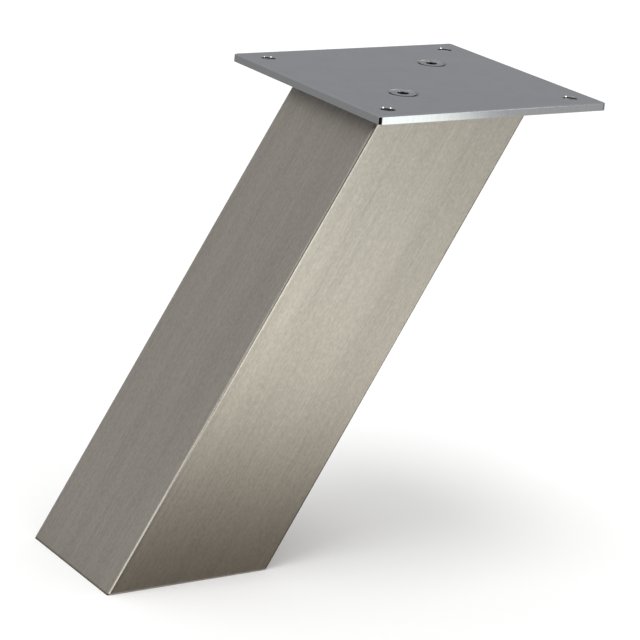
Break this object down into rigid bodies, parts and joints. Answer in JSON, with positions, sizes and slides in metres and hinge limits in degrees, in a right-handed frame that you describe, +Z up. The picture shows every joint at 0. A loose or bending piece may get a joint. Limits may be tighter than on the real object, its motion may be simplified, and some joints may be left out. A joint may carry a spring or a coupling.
{
  "type": "bar support bracket",
  "caption": "Slanted square stainless tube, cut level at both ends, with a screwed top plate that carries a raised bar top above a worktop.",
  "frame": {"origin": "centre of the foot, on the worktop that the tube's cut end stands on", "axes": "+X towards the side that the tube leans to, +Z up from the worktop to the bar top, +Y across the bracket"},
  "size_m": [0.1905, 0.104, 0.183],
  "materials": {
    "brushed_tube": "brushed along the tube",
    "plate_steel": "smooth rolled, satin",
    "screw_steel": "bright turned",
    "insert_steel": "dull, sawn and welded"
  },
  "bodies": {
    "root": {"column": "brushed_tube", "top_plate": "plate_steel", "front_screw": "screw_steel", "rear_screw": "screw_steel", "top_insert": "insert_steel", "foot_insert": "insert_steel"}
  },
  "joints": []
}
